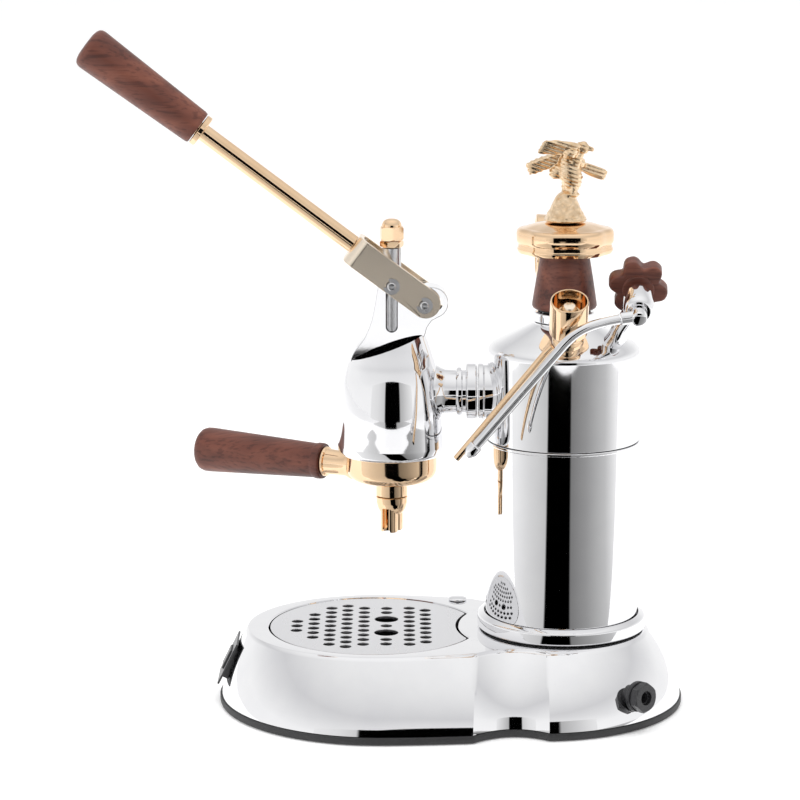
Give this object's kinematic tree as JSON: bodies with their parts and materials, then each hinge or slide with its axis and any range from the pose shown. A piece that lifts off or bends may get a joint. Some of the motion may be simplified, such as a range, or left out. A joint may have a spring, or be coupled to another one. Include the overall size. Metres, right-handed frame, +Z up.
{
  "type": "espresso machine",
  "caption": "Manual lever espresso machine: footed base with drip tray, upright boiler, lever piston group, portafilter, steam wand and bird-topped filler cap.",
  "frame": {"origin": "centre of the object's footprint box, on the surface it stands on", "axes": "+Z up; -X is the front, where the group and the drip tray are; -Y is the operator's right-hand side"},
  "size_m": [0.3745, 0.2012, 0.4208],
  "materials": {
    "chrome": "polished chrome plate",
    "rose_gold": "polished pale rose-gold plate",
    "satin_steel": "satin",
    "steel": "machined",
    "brass": "machined",
    "dark_wood": "dark reddish-brown hardwood, satin lacquer",
    "rubber": "matt",
    "black_plastic": "satin",
    "glass": "clear"
  },
  "bodies": {
    "machine": {"base_shell": "chrome", "rubber_trim": "rubber", "bottom_cover": "steel", "bottom_screw_1": "steel", "bottom_screw_2": "steel", "cord_gland": "black_plastic", "gland_nut": "black_plastic", "switch_housing": "black_plastic", "base_stud": "chrome", "boiler_collar": "chrome", "boiler_lower_shell": "chrome", "boiler_upper_shell": "chrome", "heating_element": "brass", "boiler_ring_nut": "brass", "pressurestat": "brass", "neck_ring": "chrome", "relief_valve_cup": "rose_gold", "relief_valve_nut": "rose_gold", "overflow_tube": "rose_gold", "sight_lower_fitting": "rose_gold", "sight_upper_fitting": "rose_gold", "sight_glass_tube": "glass", "gauge_case": "rose_gold", "gauge_lens": "glass", "steam_valve_body": "chrome", "group_body": "chrome", "group_ring_nut": "chrome", "group_gasket": "rubber", "shower_screen": "steel"},
    "rocker": {"switch_rocker": "black_plastic"},
    "tray": {"drip_tray": "black_plastic"},
    "grid": {"drip_grid": "satin_steel"},
    "cap_seal": {"cap_gasket": "rubber"},
    "cap": {"cap_plug": "brass", "cap_cone": "dark_wood", "cap_disc": "rose_gold", "bird_finial": "rose_gold"},
    "needle": {"gauge_needle": "black_plastic"},
    "knob": {"steam_spindle": "steel", "steam_knob": "dark_wood"},
    "wand": {"wand_nut": "chrome", "steam_wand": "chrome", "wand_nozzle": "chrome"},
    "piston": {"piston": "steel", "piston_seal": "rubber", "piston_rod": "steel", "rod_lock_nut": "rose_gold", "acorn_nut": "rose_gold"},
    "lever": {"lever_fork": "rose_gold", "lever_rod": "rose_gold", "lever_handle": "dark_wood", "front_pin": "steel", "rear_pin": "steel", "front_clip": "steel", "rear_clip": "steel"},
    "portafilter": {"portafilter_bowl": "rose_gold", "filter_basket": "steel", "portafilter_spout": "rose_gold", "portafilter_handle": "dark_wood"}
  },
  "joints": [
    {"name": "rocker_tilt", "type": "hinge", "parent": "machine", "child": "rocker", "pos_m": [-0.0946, 0, 0.0248], "axis": [0, 1, 0], "range_deg": [-6, 6]},
    {"name": "tray_lift", "type": "slide", "parent": "machine", "child": "tray", "axis": [0, 0, 1], "range_m": [0, 0.04]},
    {"name": "grid_lift", "type": "slide", "parent": "tray", "child": "grid", "axis": [0, 0, 1], "range_m": [0, 0.02]},
    {"name": "cap_rise", "type": "slide", "parent": "machine", "child": "cap_seal", "axis": [0, 0, 1], "range_m": [0, 0.0121]},
    {"name": "cap_turn", "type": "hinge", "parent": "cap_seal", "child": "cap", "pos_m": [0.113, 0, 0.2496], "axis": [0, 0, 1], "range_deg": [0, 1440]},
    {"name": "needle_swing", "type": "hinge", "parent": "machine", "child": "needle", "pos_m": [0.098, 0.065, 0.279], "axis": [-1, 0, 0], "range_deg": [-270, 0]},
    {"name": "knob_turn", "type": "hinge", "parent": "machine", "child": "knob", "pos_m": [0.1543, -0.06, 0.2547], "axis": [0.0574, 0.9574, 0.283], "range_deg": [0, 540]},
    {"name": "wand_swivel", "type": "hinge", "parent": "machine", "child": "wand", "pos_m": [0.1543, -0.06, 0.2547], "axis": [0.0574, 0.9574, 0.283], "range_deg": [-45, 0]},
    {"name": "piston_slide", "type": "slide", "parent": "machine", "child": "piston", "axis": [0, 0, 1], "range_m": [-0.019, 0.0053]},
    {"name": "lever_turn", "type": "hinge", "parent": "piston", "child": "lever", "pos_m": [0.0065, 0, 0.265], "axis": [0, 1, 0], "range_deg": [-48, 13]},
    {"name": "portafilter_turn", "type": "hinge", "parent": "machine", "child": "portafilter", "pos_m": [0.0065, 0, 0.1484], "axis": [0, 0, 1], "range_deg": [-25, 30]}
  ],
  "couplings": [
    {"joint": "piston_slide", "follows": "lever_turn", "m_per_rad": 0.0225},
    {"joint": "cap_rise", "follows": "cap_turn", "m_per_rad": 0.00047746}
  ]
}
